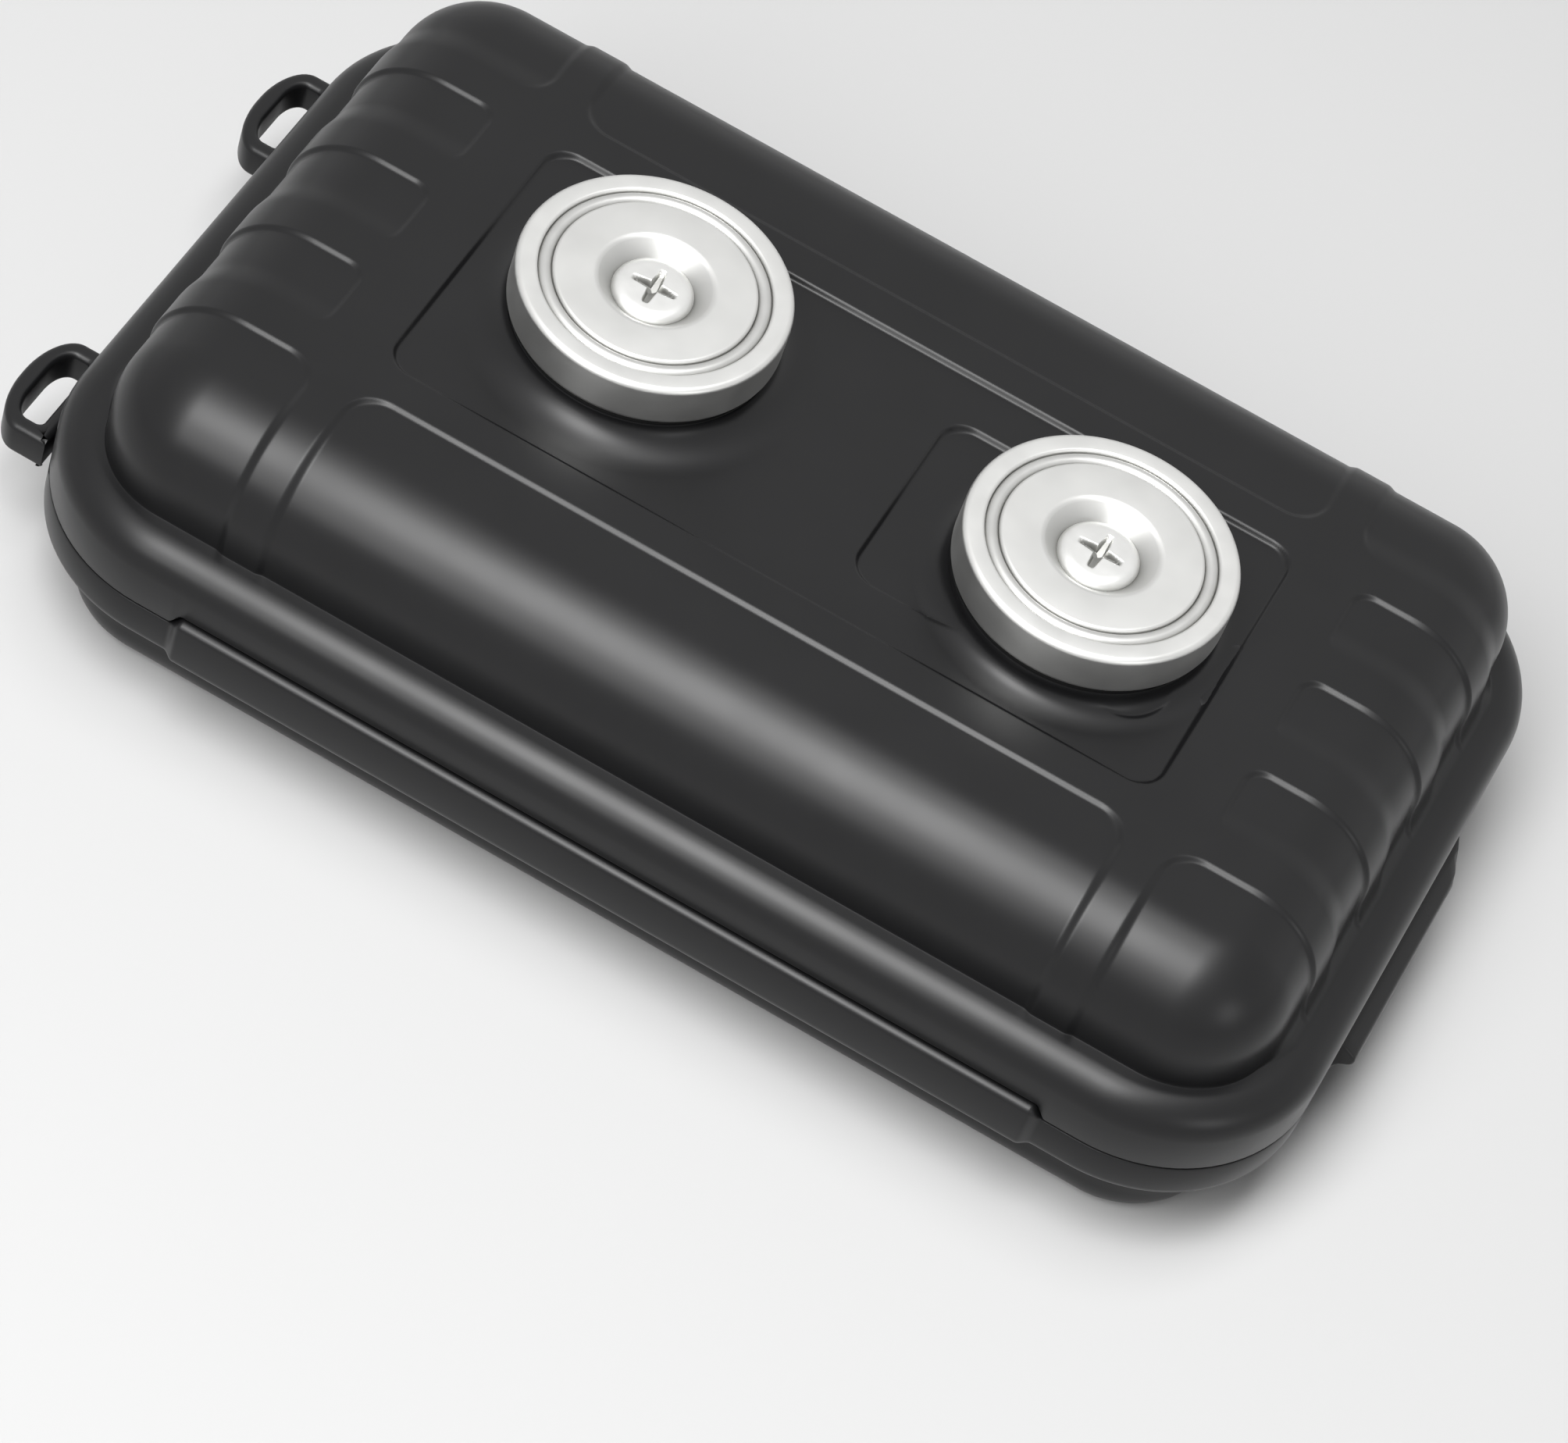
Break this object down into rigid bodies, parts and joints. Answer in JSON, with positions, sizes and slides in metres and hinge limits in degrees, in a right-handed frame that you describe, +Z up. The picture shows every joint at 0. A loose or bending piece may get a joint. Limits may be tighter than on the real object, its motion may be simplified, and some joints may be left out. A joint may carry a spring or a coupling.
{
  "type": "magnetic key holder box",
  "caption": "Small hinged waterproof plastic key case with pot magnets screwed to its lid, ribbed ends, lanyard loops, rim gasket and a flip latch.",
  "frame": {"origin": "centre of the case's flat bottom face, midway between its side walls and its end walls", "axes": "+X along the case towards the latch, +Y across the case, +Z up through the lid and the magnets"},
  "size_m": [0.1327, 0.0764, 0.0403],
  "materials": {
    "case_plastic": "satin black moulded ABS",
    "latch_plastic": "satin black moulded acetal",
    "gasket_rubber": "matt black rubber",
    "pin_steel": "zinc plated steel",
    "cup_nickel": "bright nickel plated steel",
    "filler_nickel": "bright nickel plated ring",
    "magnet_nickel": "nickel plated magnet, satin face",
    "screw_steel": "nickel plated cross-recessed screw"
  },
  "bodies": {
    "base": {"base_shell": "case_plastic", "rim_gasket": "gasket_rubber", "hinge_pin": "pin_steel", "latch_pin": "pin_steel"},
    "lid": {"lid_shell": "case_plastic", "left_magnet_cup": "cup_nickel", "left_filler_ring": "filler_nickel", "left_magnet_ring": "magnet_nickel", "left_screw": "screw_steel", "left_rubber_pad": "gasket_rubber", "left_washer": "pin_steel", "left_nut": "pin_steel", "right_magnet_cup": "cup_nickel", "right_filler_ring": "filler_nickel", "right_magnet_ring": "magnet_nickel", "right_screw": "screw_steel", "right_rubber_pad": "gasket_rubber", "right_washer": "pin_steel", "right_nut": "pin_steel"},
    "latch": {"latch_lever": "latch_plastic"}
  },
  "joints": [
    {"name": "lid_hinge", "type": "hinge", "parent": "base", "child": "lid", "pos_m": [-0.0606, 0, 0.0164], "axis": [0, -1, 0], "range_deg": [0, 100]},
    {"name": "latch_pivot", "type": "hinge", "parent": "base", "child": "latch", "pos_m": [0.0607, 0, 0.0086], "axis": [0, 1, 0], "range_deg": [0, 85]}
  ]
}
